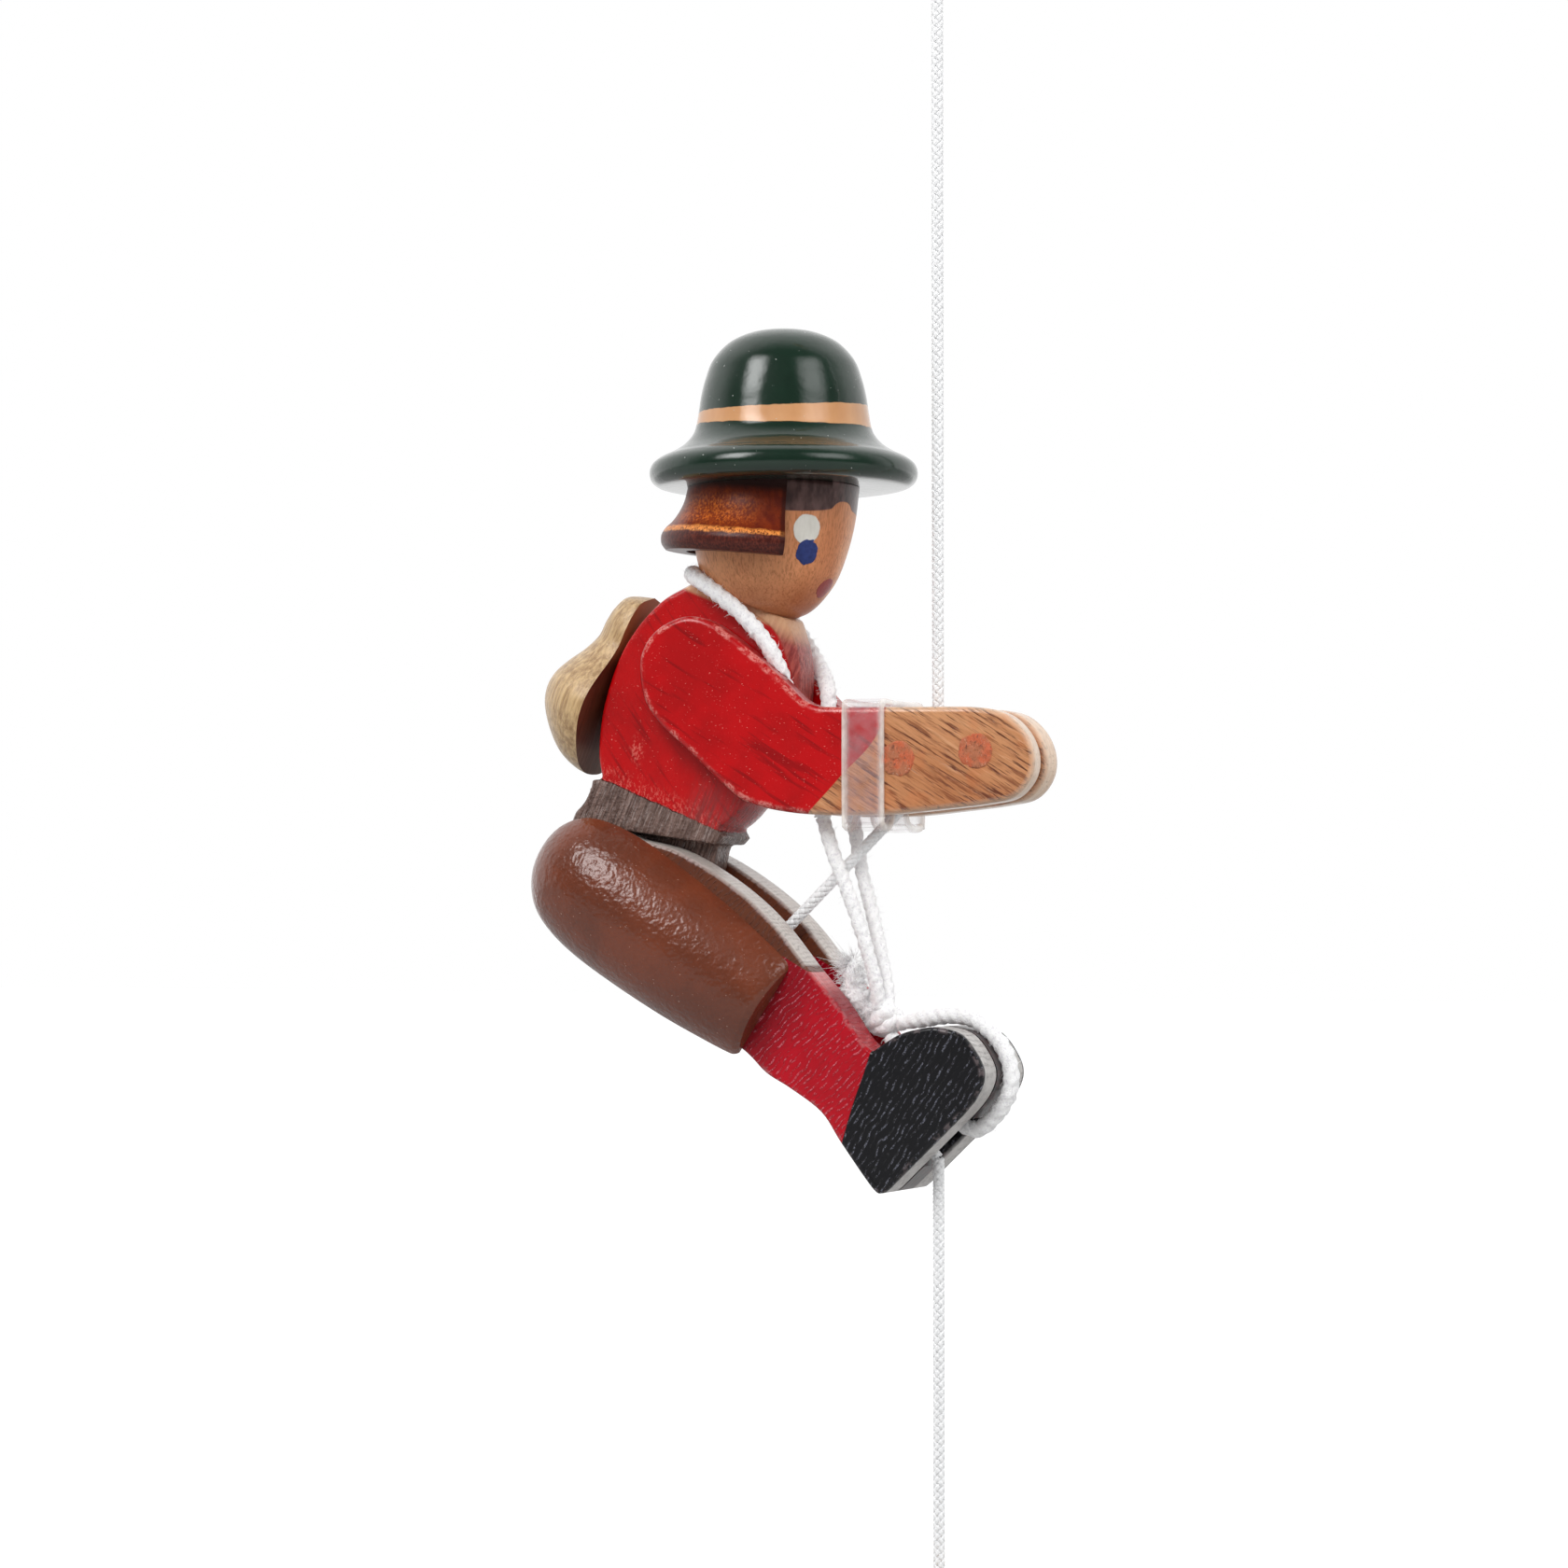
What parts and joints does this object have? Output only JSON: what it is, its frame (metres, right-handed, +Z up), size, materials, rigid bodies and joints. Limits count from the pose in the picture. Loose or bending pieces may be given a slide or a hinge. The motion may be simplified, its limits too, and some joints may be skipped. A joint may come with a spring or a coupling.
{
  "type": "climbing figure toy",
  "caption": "Turned wooden mountaineer with flat arms, folding legs and an elastic cord, which climbs a hanging string as its lower end is pulled.",
  "frame": {"origin": "centre of the hanging ring's bore", "axes": "+X away from the figure's back, towards its fingertips; +Y to the figure's left; +Z up along the string"},
  "size_m": [0.0786, 0.039, 0.2778],
  "materials": {
    "plain_wood": "plain turned beech, unpainted",
    "face_wood": "clear-varnished beech with painted face",
    "pin_wood": "varnished end grain",
    "green_paint": "glossy dark green paint with a tan band",
    "brown_stain": "glossy red-brown stain",
    "red_paint": "satin red paint; hands and chest bare, pelvis grey-brown",
    "gold_stain": "brushed gold-bronze stain",
    "crimson_paint": "crimson socks and black shoes, glossy",
    "brown_paint": "glossy brown paint with orange-peel texture",
    "black_paint": "glossy black paint",
    "string": "white braided string",
    "elastic": "white fuzzy covered elastic",
    "clear_band": "clear soft band"
  },
  "bodies": {
    "hanger": {"hanging_ring": "plain_wood", "ring_knot": "string", "string_upper": "string"},
    "string_bend": {"string_hand": "string"},
    "figure": {"hat": "green_paint", "hat_dowel": "plain_wood", "head": "face_wood", "hair": "brown_stain", "neck_dowel": "plain_wood", "torso": "red_paint", "backpack": "gold_stain", "backpack_dowel": "plain_wood", "arm_right": "red_paint", "arm_left": "red_paint", "shoulder_dowel": "plain_wood", "hand_pin_rear": "pin_wood", "hand_pin_front": "pin_wood", "wrist_band": "clear_band", "elastic_neck": "elastic", "string_diagonal": "string", "elastic_strand_right": "elastic", "elastic_strand_left": "elastic"},
    "legs": {"leg_right": "crimson_paint", "leg_left": "crimson_paint", "thigh_right": "brown_paint", "thigh_left": "brown_paint", "hip_dowel": "plain_wood", "string_peg": "plain_wood", "heel_spacer": "black_paint", "toe_spacer": "black_paint", "elastic_toe_loop": "elastic", "elastic_knot": "elastic", "string_legs": "string"},
    "string_tail": {"string_foot": "string"},
    "pull": {"string_lower": "string", "pull_bead": "plain_wood", "bead_knot": "string"}
  },
  "joints": [
    {"name": "climb", "type": "slide", "parent": "hanger", "child": "string_bend", "axis": [0, 0, 1], "range_m": [-0.05, 0.045], "deforming": ["string_upper"]},
    {"name": "hand_swing", "type": "hinge", "parent": "string_bend", "child": "figure", "pos_m": [-0.0034, 0, -0.13], "axis": [0, 1, 0], "range_deg": [-17, 3.5]},
    {"name": "hip", "type": "hinge", "parent": "figure", "child": "legs", "pos_m": [-0.0498, 0, -0.1488], "axis": [0, 1, 0], "range_deg": [-5, 25], "deforming": ["string_diagonal", "elastic_strand_right", "elastic_strand_left"]},
    {"name": "foot_swing", "type": "hinge", "parent": "legs", "child": "string_tail", "pos_m": [0, 0, -0.1864], "axis": [0, 1, 0], "range_deg": [-8.5, 1.8]},
    {"name": "bead_slide", "type": "slide", "parent": "string_tail", "child": "pull", "axis": [0, 0, 1], "range_m": [-0.045, 0.05], "deforming": ["string_lower"]}
  ],
  "couplings": [
    {"joint": "hand_swing", "follows": "hip", "ratio": -0.6667},
    {"joint": "foot_swing", "follows": "hip", "ratio": -0.3333},
    {"joint": "bead_slide", "follows": "climb", "ratio": -1}
  ]
}
